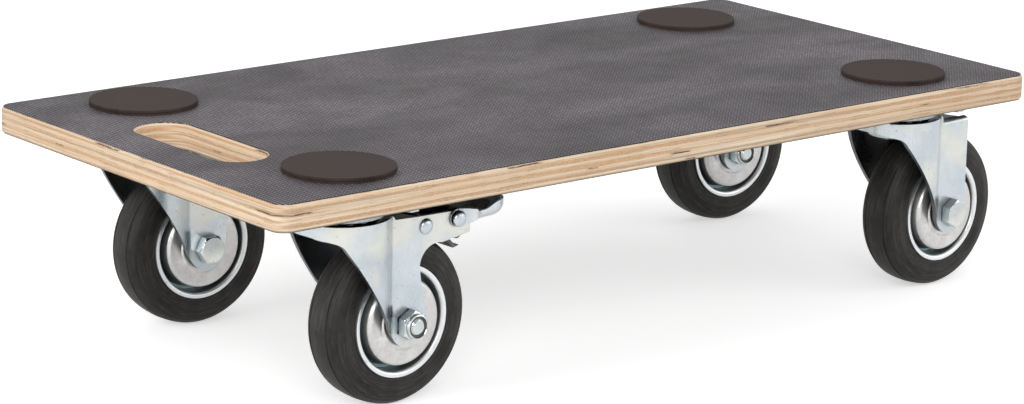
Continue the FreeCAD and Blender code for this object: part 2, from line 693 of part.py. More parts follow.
# ---------------------------------------------------------------- brake
def build_brake(name, where):
    """The foot brake of one castor: rivets, pedal, cam, shoe and leaf spring."""
    axis = vec(0, 1, 0)
    cheek_outer = S.cheek_inner + S.pedal_sheet
    rivets = []
    for along, height, grip in (
        (S.ear_pin_along, S.ear_pin_height, S.leg_outer),
        (S.pedal_pin_along, S.pedal_pin_height, cheek_outer + 0.1),
    ):
        pin = cylinder("RivetPin", S.brake_pin_radius, grip * 2, (along, -grip, height), axis)
        heads = []
        for side in (-1, 1):
            head = doc.addObject("Part::Cone", "RivetHead")
            bind(head, "Radius1", S.rivet_head_radius)
            bind(head, "Radius2", S.rivet_head_radius - 1.2)
            bind(head, "Height", S.rivet_head_height)
            place(head, (along, grip * side, height), vec(0, side, 0))
            heads.append(head)
        rivets.append(fused("Rivet", [pin] + heads))
    finish(compound("BrakeRivets", rivets), f"{name}_brake_rivets", where)

    floor, rim, sheet_thick = S.pedal_floor, S.pedal_rim, S.pedal_sheet
    neck_back = S.pedal_pin_along + 13.5

    def tray(label, inset, bottom, top):
        half, end = S.pedal_half_width - inset, S.pedal_end_centre
        solid = slab(label, "XY", [[
            (neck_back - 8 + inset, -half), (end, -half), Bend(half, 1), (end, half), (neck_back - 8 + inset, half),
        ]], bottom, top - bottom)

        def lower_edge(edge):
            box = edge.BoundBox
            return box.ZLength < 1e-3 and abs(box.ZMin - bottom.value) < 1e-3 and box.XMax > end.value - 1

        return bent(label + "Round", solid, Dim(5.0, "5.0") - inset, lower_edge)

    bowl = cut("PedalBowl", tray("PedalOuter", ZERO, floor, rim),
               tray("PedalInner", sheet_thick, floor + sheet_thick, rim + 2))
    trim = slab("PedalTrim", "XY", [
        rectangle(neck_back - 6, ZERO, Dim(12, "12.0"), S.pedal_half_width * 2 + 4),
    ], floor - 1, rim - floor + 4)
    bowl_open = cut("PedalTray", bowl, trim)
    cheeks, wings = [], []
    for side in (-1, 1):
        start = S.cheek_inner if side > 0 else -cheek_outer
        cheek = slab("PedalCheek", "XZ", [[
            (S.pedal_pin_along, S.pedal_pin_height + S.cheek_lobe), Bend(S.cheek_lobe, 1),
            (S.pedal_pin_along, S.pedal_pin_height - S.cheek_lobe), (neck_back + 3, floor + 1), (neck_back + 3, rim),
        ]], start, sheet_thick)
        cheeks.append(cheek)
        low, high = sorted((side * (S.pedal_half_width - sheet_thick).value, side * cheek_outer.value))
        wings.append(slab("PedalWing", "XY", [[
            (neck_back, low), (neck_back + 3, low), (neck_back + 3, high), (neck_back, high),
        ]], floor, rim - floor))
    pedal = fused("PedalSolid", [bowl_open] + cheeks + wings)
    eye = cylinder("PedalEye", S.brake_pin_radius + 0.08, cheek_outer * 2 + 2,
                   (S.pedal_pin_along, -cheek_outer - 1, S.pedal_pin_height), axis)
    finish(cut("Pedal", pedal, eye), f"{name}_brake_pedal", where)

    nose = (S.pedal_pin_along + S.cam_nose_along, S.pedal_pin_height - S.cam_nose_drop)
    reach = math.hypot(S.cam_nose_along.value, S.cam_nose_drop.value)
    aim = math.atan2(-S.cam_nose_drop.value, S.cam_nose_along.value)
    spread = math.acos((S.cam_radius.value - S.cam_nose_radius.value) / reach)

    def flank_end(centre, radius, side):
        turn = aim + side * spread
        return (centre[0] + radius * math.cos(turn), centre[1] + radius * math.sin(turn))

    pin_centre = (S.pedal_pin_along, S.pedal_pin_height)
    flanks = slab("CamFlanks", "XZ", [[
        flank_end(pin_centre, S.cam_radius, -1), flank_end(nose, S.cam_nose_radius, -1),
        flank_end(nose, S.cam_nose_radius, 1), flank_end(pin_centre, S.cam_radius, 1),
    ]], -S.cam_half_width, S.cam_half_width * 2)
    rounds = [
        cylinder("CamRound", radius, S.cam_half_width * 2, (centre[0], -S.cam_half_width, centre[1]), axis)
        for centre, radius in ((pin_centre, S.cam_radius), (nose, S.cam_nose_radius))
    ]
    cam = fused("CamSolid", [flanks] + rounds)
    cam_eye = cylinder("CamEye", S.brake_pin_radius + 0.08, S.cam_half_width * 2 + 2,
                       (S.pedal_pin_along, -S.cam_half_width - 1, S.pedal_pin_height), axis)
    finish(cut("Cam", cam, cam_eye), f"{name}_brake_cam", where)

    gap_radius = S.tyre_radius + S.shoe_gap
    back_radius = gap_radius + S.shoe_thick

    def on_wheel(radius, degrees):
        turn = math.radians(degrees)
        return (S.trail + radius * math.cos(turn), S.axle_height + radius * math.sin(turn))

    plate = slab("ShoePlate", "XZ", [[
        on_wheel(gap_radius, 41), Bend(gap_radius, 1), on_wheel(gap_radius, 76), on_wheel(back_radius, 76),
        Bend(back_radius, -1), on_wheel(back_radius, 41), on_wheel(back_radius + 2.2, 39),
    ]], -S.shoe_half_width, S.shoe_half_width * 2)
    hinge_eye = cylinder("ShoeEyeOuter", S.brake_pin_radius + 1.9, S.shoe_half_width * 2,
                         (S.ear_pin_along, -S.shoe_half_width, S.ear_pin_height), axis)
    eye_hole = cylinder("ShoeEyeHole", S.brake_pin_radius + 0.08, S.shoe_half_width * 2 + 2,
                        (S.ear_pin_along, -S.shoe_half_width - 1, S.ear_pin_height), axis)
    finish(cut("Shoe", fused("ShoeSolid", [plate, hinge_eye]), eye_hole), f"{name}_brake_shoe", where)

    over_cam = S.pedal_pin_height + S.cam_radius + 0.3
    leaf = slab("LeafSpring", "XZ", [[
        (30, S.web_top), (47, S.web_top), (53, over_cam), (75, over_cam), (76, over_cam + 1),
        (52.6, over_cam + 1), (46.6, S.web_top + 1), (30, S.web_top + 1),
    ]], Dim(-7, "-7.0"), Dim(14, "14.0"))
    finish(leaf, f"{name}_brake_spring", where)


# ---------------------------------------------------------------- build everything
build_deck()
build_pads()
build_screws()
for station, x, y, angle, braked in castor_stations():
    fixed = FreeCAD.Placement(vec(x.value, y.value, 0), FreeCAD.Rotation())
    swivel = FreeCAD.Placement(fixed.Base, FreeCAD.Rotation(vec(0, 0, 1), angle.value))
    hub = swivel.multiply(FreeCAD.Placement(vec(S.trail.value, 0, S.axle_height.value), FreeCAD.Rotation()))
    bolt_turn = getattr(S, f"bolt_turn_{station}").value
    bolt = hub.multiply(FreeCAD.Placement(vec(0, 0, 0), FreeCAD.Rotation(vec(0, 1, 0), bolt_turn)))
    build_plate(station, fixed)
    build_king_pin(station, fixed)
    build_lower_cup(station, fixed)
    build_balls(station, swivel)
    build_fork(station, swivel, braked)
    build_axle(station, bolt, 1 if braked else -1)
    build_roller_bearing(station, hub)
    build_rim(station, hub)
    build_tyre(station, hub)
    if braked:
        build_brake(station, swivel)
doc.recompute()

# ---------------------------------------------------------------- check, then write one STEP per sub-part
failed = [obj.Name for obj in doc.Objects if "Invalid" in obj.State or "Error" in obj.State]
if failed:
    raise RuntimeError(f"failed to build: {failed}")
for obj in finished:
    if obj.Shape.isNull() or not obj.Shape.isValid() or not obj.Shape.Solids:
        raise RuntimeError(f"{obj.Label} has no valid solid")
    obj.Shape.exportStep(f"parts/{obj.Label}.step")
print(f"wrote {len(finished)} sub-parts")
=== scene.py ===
"""The platform trolley's looks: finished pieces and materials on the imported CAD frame.

Lengths in the piece builders are millimetres in a castor's own frame: X runs back along the trail, Y along
the axle and Z up from the floor. Objects are made in metres.
"""

import json
import math

import bmesh
import bpy
from mathutils import Matrix, Vector


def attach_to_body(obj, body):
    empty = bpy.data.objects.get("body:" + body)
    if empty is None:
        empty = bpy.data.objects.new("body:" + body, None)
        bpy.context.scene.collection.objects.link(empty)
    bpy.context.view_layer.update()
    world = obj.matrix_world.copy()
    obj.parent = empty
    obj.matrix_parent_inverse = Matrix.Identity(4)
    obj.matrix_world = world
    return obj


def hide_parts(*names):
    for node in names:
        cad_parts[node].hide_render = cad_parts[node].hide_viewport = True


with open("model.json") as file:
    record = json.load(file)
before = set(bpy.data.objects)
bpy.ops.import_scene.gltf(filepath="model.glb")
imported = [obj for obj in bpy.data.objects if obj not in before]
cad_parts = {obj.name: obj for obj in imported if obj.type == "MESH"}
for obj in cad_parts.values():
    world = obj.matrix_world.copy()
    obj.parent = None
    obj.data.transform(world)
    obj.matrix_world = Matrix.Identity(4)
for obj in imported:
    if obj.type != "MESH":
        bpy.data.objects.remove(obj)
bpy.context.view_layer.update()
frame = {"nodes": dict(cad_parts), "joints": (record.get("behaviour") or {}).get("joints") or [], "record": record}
MM = 0.001
CASTORS = ("front_left", "front_right", "rear_left", "rear_right")
BRAKED = ("front_left", "rear_right")
AXLE_BACK = 34.5  # behind the king pin
AXLE_HEIGHT = 50
FORK_FACE = 20.5  # from the castor's middle to the outside of a leg
HEX_FLATS = 16
HEX_CHAMFER = 2.2  # how far the turned corners reach along the axle
BOLT_TURN = {"front_right": 28}  # degrees
RIVETS = (("front", 46, 105, 20.5), ("rear", 69, 106.2, 22.5))  # name, distance back, height, half grip
SHEET = 1.5  # thickness of the rim discs and the pedal's tray
RING_STEPS = 96
TRAY_END = 100.5  # where the pedal's tray starts to round off


# ------------------------------------------------------------------ shader building
class Shader:
    """A node tree, built up by short calls. A value can be a number, a colour or another node's output."""

    def __init__(self, owner, coordinates="Object"):
        owner.use_nodes = True
        self.owner = owner
        self.tree = owner.node_tree
        self.tree.nodes.clear()
        self.place = self.tree.nodes.new("ShaderNodeTexCoord").outputs[coordinates]

    def node(self, kind, values=None, **settings):
        made = self.tree.nodes.new("ShaderNode" + kind)
        for key, value in settings.items():
            setattr(made, key, value)
        for key, value in (values or {}).items():
            self.feed(made.inputs[key], value)
        return made

    def feed(self, socket, value):
        if isinstance(value, bpy.types.NodeSocket):
            self.tree.links.new(value, socket)
        elif isinstance(value, tuple) and len(value) == 3 and socket.type == "RGBA":
            socket.default_value = (*value, 1)
        else:
            socket.default_value = value

    def math(self, operation, a, b=0.0):
        return self.node("Math", {0: a, 1: b}, operation=operation).outputs[0]

    def radius(self, a, b):
        """The distance from the axis that a and b are measured from."""
        return self.math("SQRT", self.math("ADD", self.math("MULTIPLY", a, a), self.math("MULTIPLY", b, b)))

    def axes(self, vector=None):
        split = self.node("SeparateXYZ", {0: self.place if vector is None else vector})
        return split.outputs[0], split.outputs[1], split.outputs[2]

    def joined(self, x, y, z):
        return self.node("CombineXYZ", {0: x, 1: y, 2: z}).outputs[0]

    def stretched(self, sx, sy, sz, vector=None):
        values = {"Vector": self.place if vector is None else vector, "Scale": (sx, sy, sz)}
        return self.node("Mapping", values).outputs[0]

    def noise(self, scale, detail=3.0, rough=0.55, vector=None, bend=0.0):
        values = {"Scale": scale, "Detail": detail, "Roughness": rough, "Distortion": bend,
                  "Vector": self.place if vector is None else vector}
        return self.node("TexNoise", values).outputs["Fac"]

    def dice(self, value):
        return self.node("TexWhiteNoise", {"W": value}, noise_dimensions="1D").outputs["Value"]

    def remap(self, value, low, high, to_low=0.0, to_high=1.0, smooth=False):
        kind = "SMOOTHSTEP" if smooth else "LINEAR"
        values = {"Value": value, "From Min": low, "From Max": high, "To Min": to_low, "To Max": to_high}
        return self.node("MapRange", values, interpolation_type=kind, clamp=True).outputs[0]

    def mix(self, share, a, b):
        made = self.node("Mix", data_type="RGBA", blend_type="MIX")
        made.clamp_factor = True
        self.feed(made.inputs[0], share)
        self.feed(made.inputs[6], a)
        self.feed(made.inputs[7], b)
        return made.outputs[2]

    def shelter(self, reach, low, high):
        """A mask for painted shade, from ambient occlusion: 0 where other surfaces crowd round within reach, 1 in
        the open.
        """
        seen = self.node("AmbientOcclusion", {"Distance": reach}, samples=8)
        return self.remap(seen.outputs["AO"], low, high)

    def bump(self, height, distance, strength=1.0, under=None):
        values = {"Height": height, "Distance": distance, "Strength": strength}
        if under is not None:
            values["Normal"] = under
        return self.node("Bump", values).outputs[0]

    def finish(self, **values):
        surface = self.node("BsdfPrincipled")
        for key, value in values.items():
            self.feed(surface.inputs[key.replace("_", " ")], value)
        self.node("OutputMaterial", {"Surface": surface.outputs[0]})
        return self.owner


def material(name):
    """A shader for a new material."""
    return Shader(bpy.data.materials.new(name))


# ------------------------------------------------------------------ materials
def mesh_film():
    """Dark phenolic film pressed with a fine square mesh, cloudy and lightly worn."""
    s = material("mesh_film")
    pitch = 2.4 * MM
    x, y, _ = s.axes()
    wander = s.math("MULTIPLY", s.math("SUBTRACT", s.noise(60, 2), 0.5), 0.5 * MM)
    ribs = []
    for coordinate in (x, y):
        turn = s.math("MULTIPLY", s.math("ADD", coordinate, wander), math.pi / pitch)
        ribs.append(s.math("ABSOLUTE", s.math("SINE", turn)))
    island = s.remap(s.math("MINIMUM", ribs[0], ribs[1]), 0.28, 0.72, smooth=True)
    cloud = s.remap(s.noise(1.0, 3, 0.5, s.stretched(7, 16, 1), 0.8), 0.34, 0.66)
    grime = s.remap(s.noise(38, 5, 0.65), 0.35, 0.7)
    square = s.noise(420, 2, 0.6)
    lines = s.mix(cloud, (0.010, 0.009, 0.010), (0.024, 0.021, 0.023))
    tops = s.mix(cloud, (0.215, 0.192, 0.208), (0.435, 0.398, 0.430))
    worn = s.mix(s.math("MULTIPLY", grime, 0.30), tops, (0.30, 0.28, 0.29))
    worn = s.mix(s.remap(square, 0.35, 0.65, 0, 0.5), worn, (0.12, 0.108, 0.118))
    color = s.mix(island, lines, worn)
    rough = s.remap(grime, 0, 1, 0.50, 0.66)
    fine = s.bump(s.noise(2200, 2), 0.04 * MM)
    return s.finish(Base_Color=color, Roughness=rough, Specular_IOR_Level=0.22,
                    Normal=s.bump(island, 0.30 * MM, 1.0, fine))


def smooth_film():
    """Smooth dark brown film under the deck."""
    s = material("smooth_film")
    patch = s.noise(14, 5, 0.6)
    color = s.mix(patch, (0.030, 0.017, 0.011), (0.055, 0.033, 0.022))
    grain = s.noise(90, 4, 0.6, s.stretched(0.12, 1, 1))
    return s.finish(Base_Color=color, Roughness=s.remap(patch, 0.3, 0.7, 0.30, 0.45),
                    Normal=s.bump(grain, 0.05 * MM))


def plywood():
    """Plies on the open edges: cream long grain and tan end grain in uneven bands, with a few gaps darkened by
    painted shade.
    """
    s = material("birch_plywood")
    ply, bottom = 2.17 * MM, 124.3 * MM
    x, y, z = s.axes()
    nx, _, _ = s.axes(s.node("NewGeometry").outputs["Normal"])
    along = s.math("ADD", x, y)

    def run(stretch, depth, seed, detail=3.0, rough=0.55):
        place = s.joined(s.math("MULTIPLY", along, stretch), s.math("MULTIPLY", z, depth), seed)
        return s.noise(1.0, detail, rough, place)

    drift = s.math("MULTIPLY", s.math("SUBTRACT", run(13, 0, 0.3), 0.5), 1.3 * MM)
    level = s.math("DIVIDE", s.math("SUBTRACT", s.math("ADD", z, drift), bottom), ply)
    index = s.math("FLOOR", level)
    part = s.math("FRACT", level)
    chance = s.dice(index)
    odd = s.math("ABSOLUTE", s.math("MODULO", index, 2.0))
    short_side = s.remap(s.math("ABSOLUTE", nx), 0.45, 0.92, smooth=True)
    end_grain = s.math("ABSOLUTE", s.math("SUBTRACT", odd, short_side))
    seed = s.math("MULTIPLY", chance, 40.0)

    fibre = run(16, 2400, seed, 4, 0.6)
    pores = run(700, 800, seed, 2, 0.6)
    long_grain = s.mix(s.remap(fibre, 0.38, 0.68), (0.90, 0.72, 0.53), (0.74, 0.50, 0.31))
    end_color = s.mix(s.remap(pores, 0.35, 0.70), (0.74, 0.50, 0.31), (0.52, 0.315, 0.175))
    end_color = s.mix(s.math("MULTIPLY", chance, 0.6), end_color, (0.78, 0.48, 0.25))
    color = s.mix(end_grain, long_grain, end_color)
    color = s.mix(s.remap(run(6, 520, 4.1), 0.50, 0.68, 0, 0.85), color, (0.95, 0.82, 0.66))
    color = s.mix(s.remap(run(5, 620, 9.7), 0.54, 0.72, 0, 0.70), color, (0.47, 0.375, 0.28))
    color = s.mix(s.remap(run(7, 700, 15.2), 0.56, 0.74, 0, 0.75), color, (0.56, 0.29, 0.13))
    color = s.mix(s.remap(run(90, 1500, 21.7, 4, 0.7), 0.55, 0.72, 0, 0.45), color, (0.42, 0.25, 0.14))

    edge = s.math("ABSOLUTE", s.math("SUBTRACT", part, 0.5))
    pale_line = s.math("MULTIPLY", s.remap(edge, 0.36, 0.46), s.remap(run(11, 0, index), 0.42, 0.56))
    color = s.mix(s.math("MULTIPLY", pale_line, 0.75), color, (0.90, 0.79, 0.64))
    dark_here = s.remap(run(9, 0, s.math("ADD", index, 31.5)), 0.52, 0.6)
    dark_line = s.math("MULTIPLY", s.remap(edge, 0.455, 0.495), dark_here)
    color = s.mix(s.math("MULTIPLY", dark_line, 0.75), color, (0.23, 0.12, 0.06))

    dash_here = s.remap(run(55, 0, s.math("ADD", index, 63.7), 2, 0.6), 0.57, 0.64)
    dash = s.math("MULTIPLY", s.remap(edge, 0.36, 0.42), dash_here)
    color = s.mix(s.math("MULTIPLY", dash, 0.70), color, (0.30, 0.15, 0.07))

    gap_here = s.remap(run(17, 0, s.math("MULTIPLY", index, 5.13), 2, 0.6), 0.635, 0.67)
    from_gap = s.math("ABSOLUTE", s.math("SUBTRACT", part, s.remap(chance, 0, 1, 0.3, 0.7)))
    gap_mid = s.remap(from_gap, 0.12, 0.24, 1, 0)
    ragged = s.remap(run(240, 2200, 1.0, 4, 0.7), 0.40, 0.58)
    gap = s.math("MULTIPLY", s.math("MULTIPLY", gap_here, gap_mid), ragged)
    # painted shade: the sunk ply gaps are painted dark
    color = s.mix(gap, color, (0.060, 0.030, 0.016))

    lower = s.math("ADD", s.math("MULTIPLY", gap, 4.0), s.math("MULTIPLY", dark_line, 0.8))
    height = s.math("SUBTRACT", s.math("MULTIPLY", fibre, 0.5), lower)
    rough = s.remap(fibre, 0.3, 0.7, 0.55, 0.72)
    return s.finish(Base_Color=color, Roughness=rough, Specular_IOR_Level=0.3,
                    Normal=s.bump(height, 0.12 * MM))


def zinc(name, light, dark, rough_low, rough_high, reach=45, painted_shade=None):
    """Zinc-plated pressed steel: a soft sheen that varies in patches, with scratches and a faint tint, painted
    shade where other surfaces crowd round, and more painted shade where a given mask asks for it.
    """
    s = material(name)
    patch = s.noise(45, 5, 0.62, bend=0.6)
    smear = s.noise(1.0, 4, 0.6, s.stretched(70, 70, 18))
    tint = s.noise(24, 3)
    color = s.mix(s.remap(patch, 0.30, 0.70), light, dark)
    color = s.mix(s.remap(tint, 0.48, 0.64, 0, 0.50), color, (0.53, 0.615, 0.68))
    color = s.mix(s.remap(tint, 0.50, 0.36, 0, 0.70), color, (0.79, 0.775, 0.68))
    specks = s.remap(s.noise(430, 4, 0.78), 0.62, 0.69)
    color = s.mix(s.math("MULTIPLY", specks, 0.55), color, (0.20, 0.20, 0.20))
    rough = s.math("ADD", s.remap(smear, 0.3, 0.7, rough_low, rough_high), s.math("MULTIPLY", specks, 0.15))
    # painted shade: the colour goes nearly black where other surfaces crowd round within reach
    color = s.mix(s.shelter(reach * MM, 0.10, 0.70), (0.035, 0.036, 0.038), color)
    # painted shade on the faces that the given mask picks out
    if painted_shade is not None:
        color = s.mix(s.math("MULTIPLY", painted_shade(s), 0.85), color, (0.10, 0.105, 0.11))
    dents = s.bump(s.noise(70, 2), 0.25 * MM, 0.35)
    scratch = s.remap(s.noise(1.0, 2, 0.5, s.stretched(2400, 2400, 90)), 0.60, 0.72)
    return s.finish(Base_Color=color, Metallic=1.0, Roughness=rough,
                    Normal=s.bump(scratch, 0.02 * MM, 0.6, dents))


def fork_zinc():
    """The forks' zinc plating, with painted shade on faces turned sideways or down below the fork's top, which
    darkens the sheet's cut edges.
    """
    def edge_shade(s):
        # painted shade mask: faces turned across Y and not upwards, below 107 to 109 mm
        facing = s.axes(s.node("TexCoord").outputs["Normal"])
        _, _, z = s.axes()
        across = s.remap(s.math("ABSOLUTE", facing[1]), 0.25, 0.50, 1, 0)
        upright = s.remap(facing[2], 0.50, 0.75, 1, 0)
        low = s.remap(z, 107 * MM, 109 * MM, 1, 0)
        return s.math("MULTIPLY", s.math("MULTIPLY", across, upright), low)

    return zinc("fork_zinc", (0.71, 0.755, 0.78), (0.54, 0.60, 0.635), 0.22, 0.38, 45, edge_shade)


def rim_steel():
    """Pressed wheel discs: warm grey zinc with handling marks, a painted dark blue reflection down in the trough,
    painted shade where parts crowd close and a painted highlight on the rolled lip.
    """
    s = material("rim_steel")
    x, y, z = s.axes()
    radius = s.radius(x, z)
    patch = s.noise(110, 6, 0.7, bend=0.8)
    color = s.mix(s.remap(patch, 0.32, 0.68), (0.80, 0.79, 0.78), (0.60, 0.585, 0.57))
    depth = s.remap(s.math("ABSOLUTE", y), 3 * MM, 13.5 * MM, 1, 0)
    # painted reflection: darker and bluer down in the trough
    trough_reflection = s.math("MULTIPLY", depth, s.remap(radius, 24.4 * MM, 25.2 * MM))
    color = s.mix(s.math("MULTIPLY", trough_reflection, 0.80), color, (0.38, 0.50, 0.53))
    # painted shade: dark teal where other surfaces crowd round
    color = s.mix(s.shelter(12 * MM, 0.02, 0.38), (0.15, 0.215, 0.24), color)
    # painted highlight: the rolled lip is painted brighter
    lip_highlight = s.remap(radius, 30.2 * MM, 30.9 * MM)
    color = s.mix(lip_highlight, color, (0.84, 0.87, 0.88))
    stains = s.remap(s.noise(300, 4, 0.75, bend=0.6), 0.60, 0.72)
    color = s.mix(s.math("MULTIPLY", stains, 0.6), color, (0.22, 0.20, 0.18))
    rough = s.remap(patch, 0.3, 0.7, 0.26, 0.42)
    rings = s.bump(s.math("SINE", s.math("MULTIPLY", radius, 2 * math.pi / (0.9 * MM))), 0.006 * MM, 0.5)
    normal = s.bump(s.noise(160, 3), 0.1 * MM, 0.4, rings)
    return s.finish(Base_Color=color, Metallic=0.92, Roughness=rough, Normal=normal)


def tyre_rubber():
    """Satin black rubber with fine turned lines round the flanks and the tread, and dusty scuffs."""
    s = material("tyre_rubber")
    x, y, z = s.axes()
    radius = s.radius(x, z)
    angle = s.math("ARCTAN2", z, x)

    def turned(density, around, detail, rough):
        """Noise drawn out round the axle, so that it shows as turned lines."""
        place = s.joined(s.math("MULTIPLY", radius, density), s.math("MULTIPLY", y, density), around)
        return s.noise(1.0, detail, rough, place)

    lines = turned(2600, 0.0, 3, 0.65)
    wide = turned(420, 3.0, 2, 0.5)
    scuff = s.remap(turned(600, s.math("MULTIPLY", angle, 2.2), 4, 0.7), 0.50, 0.72)
    threads = s.remap(turned(2300, s.math("MULTIPLY", angle, 2.4), 3, 0.75), 0.58, 0.70)
    dust = s.noise(55, 4, 0.6)
    color = s.mix(s.remap(wide, 0.35, 0.65), (0.006, 0.005, 0.0045), (0.017, 0.0145, 0.013))
    color = s.mix(s.math("MULTIPLY", s.remap(dust, 0.42, 0.72), 0.45), color, (0.055, 0.050, 0.046))
    color = s.mix(s.math("MULTIPLY", scuff, 0.40), color, (0.105, 0.098, 0.092))
    color = s.mix(s.math("MULTIPLY", threads, 0.42), color, (0.17, 0.158, 0.150))
    height = s.math("ADD", s.math("MULTIPLY", lines, 0.5), wide)
    return s.finish(Base_Color=color, Roughness=s.remap(lines, 0.3, 0.7, 0.45, 0.62), Specular_IOR_Level=0.32,
                    Normal=s.bump(height, 0.16 * MM, 0.8))


def pad_rubber():
    """Matte brown-black rubber pads with a faint swirl and worn rims, and a painted shadow line round the edge at
    mid-height.
    """
    s = material("pad_rubber")
    swirl = s.noise(26, 5, 0.6, bend=2.2)
    color = s.mix(s.remap(swirl, 0.3, 0.7), (0.028, 0.0165, 0.0130), (0.066, 0.044, 0.038))
    nap = s.noise(1500, 3, 0.7)
    color = s.mix(s.remap(nap, 0.58, 0.76, 0, 0.45), color, (0.12, 0.105, 0.098))
    _, _, z = s.axes()
    # painted shadow: a thin dark line round the pad's edge at mid-height
    shadow_line = s.remap(s.math("ABSOLUTE", s.math("SUBTRACT", z, 141.5 * MM)), 0.10 * MM, 0.30 * MM, 1, 0)
    color = s.mix(s.math("MULTIPLY", shadow_line, 0.8), color, (0.004, 0.003, 0.003))
    return s.finish(Base_Color=color, Roughness=s.remap(swirl, 0.3, 0.7, 0.58, 0.72), Specular_IOR_Level=0.16,
                    Normal=s.bump(nap, 0.05 * MM, 0.8))


def plain_metal(name, light, dark, rough):
    """A small machined or hardened steel part, with painted shade where other surfaces crowd round."""
    s = material(name)
    patch = s.noise(160, 4, 0.6)
    color = s.mix(s.remap(patch, 0.3, 0.7), light, dark)
    # painted shade: nearly black where other surfaces crowd round
    color = s.mix(s.shelter(20 * MM, 0.15, 0.80), (0.02, 0.02, 0.021), color)
    return s.finish(Base_Color=color, Metallic=1.0, Roughness=s.remap(patch, 0.3, 0.7, rough, rough + 0.12),
                    Normal=s.bump(s.noise(700, 2), 0.02 * MM, 0.5))


def cage_plastic(name, light, dark):
    """Moulded plastic."""
    s = material(name)
    patch = s.noise(240, 3)
    return s.finish(Base_Color=s.mix(patch, light, dark), Roughness=s.remap(patch, 0.3, 0.7, 0.35, 0.5),
                    Normal=s.bump(s.noise(900, 2), 0.03 * MM, 0.5))


LOOKS = {
    "mesh_film": mesh_film(),
    "smooth_film": smooth_film(),
    "birch_plywood": plywood(),
    "pad_rubber": pad_rubber(),
    "zinc_steel": zinc("zinc_steel", (0.74, 0.78, 0.80), (0.56, 0.62, 0.65), 0.22, 0.38),
    "bolt_zinc": zinc("bolt_zinc", (0.80, 0.83, 0.82), (0.50, 0.54, 0.53), 0.12, 0.22, 20),
    "pedal_zinc": zinc("pedal_zinc", (0.78, 0.82, 0.84), (0.60, 0.66, 0.69), 0.20, 0.34, 14),
    "fork_zinc": fork_zinc(),
    "rim_steel": rim_steel(),
    "polished_steel": plain_metal("polished_steel", (0.78, 0.78, 0.80), (0.70, 0.70, 0.72), 0.08),
    "spring_steel": plain_metal("spring_steel", (0.62, 0.62, 0.60), (0.46, 0.45, 0.43), 0.22),
    "dark_steel": plain_metal("dark_steel", (0.16, 0.16, 0.165), (0.09, 0.09, 0.095), 0.34),
    "cage_plastic": cage_plastic("cage_plastic", (0.020, 0.020, 0.022), (0.035, 0.035, 0.038)),
    "tyre_rubber": tyre_rubber(),
    "nut_nylon": cage_plastic("nut_nylon", (0.060, 0.062, 0.066), (0.10, 0.10, 0.11)),
}


# ------------------------------------------------------------------ the carried-over CAD nodes
def bevel(obj, width, angle):
    """Rounds an object's edges that are sharper than an angle."""
    edges = obj.modifiers.new("Edges", "BEVEL")
    edges.width = width * MM
    edges.segments = 3
    edges.limit_method = "ANGLE"
    edges.angle_limit = math.radians(angle)
    return edges


def soften(obj, width):
    """Small rounded edges that catch the light, on a CAD node of folded sheet."""
    merge = obj.modifiers.new("Merge", "DECIMATE")
    merge.decimate_type = "DISSOLVE"
    merge.angle_limit = math.radians(0.6)
    bevel(obj, width, 30).harden_normals = True


def dress_cad_nodes():
    """Gives every CAD node its procedural material, and the sheet-metal ones softened edges."""
    for entry in frame["record"]["subparts"]:
        obj = frame["nodes"][entry["node"]]
        look = LOOKS[entry["material_slot"]]
        if not obj.material_slots:
            obj.data.materials.append(look)
        for holder in obj.material_slots:
            holder.material = look
    for name in CASTORS:
        fork = frame["nodes"][f"{name}_fork"]
        for holder in fork.material_slots:
            holder.material = LOOKS["fork_zinc"]
        soften(fork, 0.5)
        soften(frame["nodes"][f"{name}_mounting_plate"], 0.4)


# ------------------------------------------------------------------ mesh helpers
def castor_matrix(name):
    """A castor's own frame in the row frame, from its two joints."""
    joints = {joint["name"]: joint for joint in frame["joints"]}
    pin = joints[f"{name}_swivel_turn"]["pos_m"]
    axle = Vector(joints[f"{name}_wheel_spin"]["axis"]).normalized()
    back = axle.cross(Vector((0, 0, 1)))
    turn = Matrix((back, axle, (0, 0, 1))).transposed().to_4x4()
    return Matrix.Translation((pin[0], pin[1], 0)) @ turn


def scene_object(name, data):
    """A new object in the scene that holds a mesh, light or camera."""
    obj = bpy.data.objects.new(name, data)
    bpy.context.scene.collection.objects.link(obj)
    return obj


def make_object(name, verts, faces, look, matrix, sharp=32):
    """A mesh object from millimetre vertices, smooth except at edges sharper than the given angle."""
    mesh = bpy.data.meshes.new(name)
    mesh.from_pydata([tuple(c * MM for c in v) for v in verts], [], faces)
    work = bmesh.new()
    work.from_mesh(mesh)
    bmesh.ops.remove_doubles(work, verts=work.verts, dist=1e-6)
    bmesh.ops.recalc_face_normals(work, faces=work.faces)
    work.to_mesh(mesh)
    work.free()
    mesh.shade_smooth()
    mesh.set_sharp_from_angle(angle=math.radians(sharp))
    obj = scene_object(name, mesh)
    obj.matrix_world = matrix
    mesh.materials.append(LOOKS[look])
    return obj


def attach(obj, body, slot, *nodes):
    """Rides a piece on a body, standing for CAD nodes; the slot argument is not used."""
    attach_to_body(obj, body)
    if nodes:
        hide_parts(*nodes)


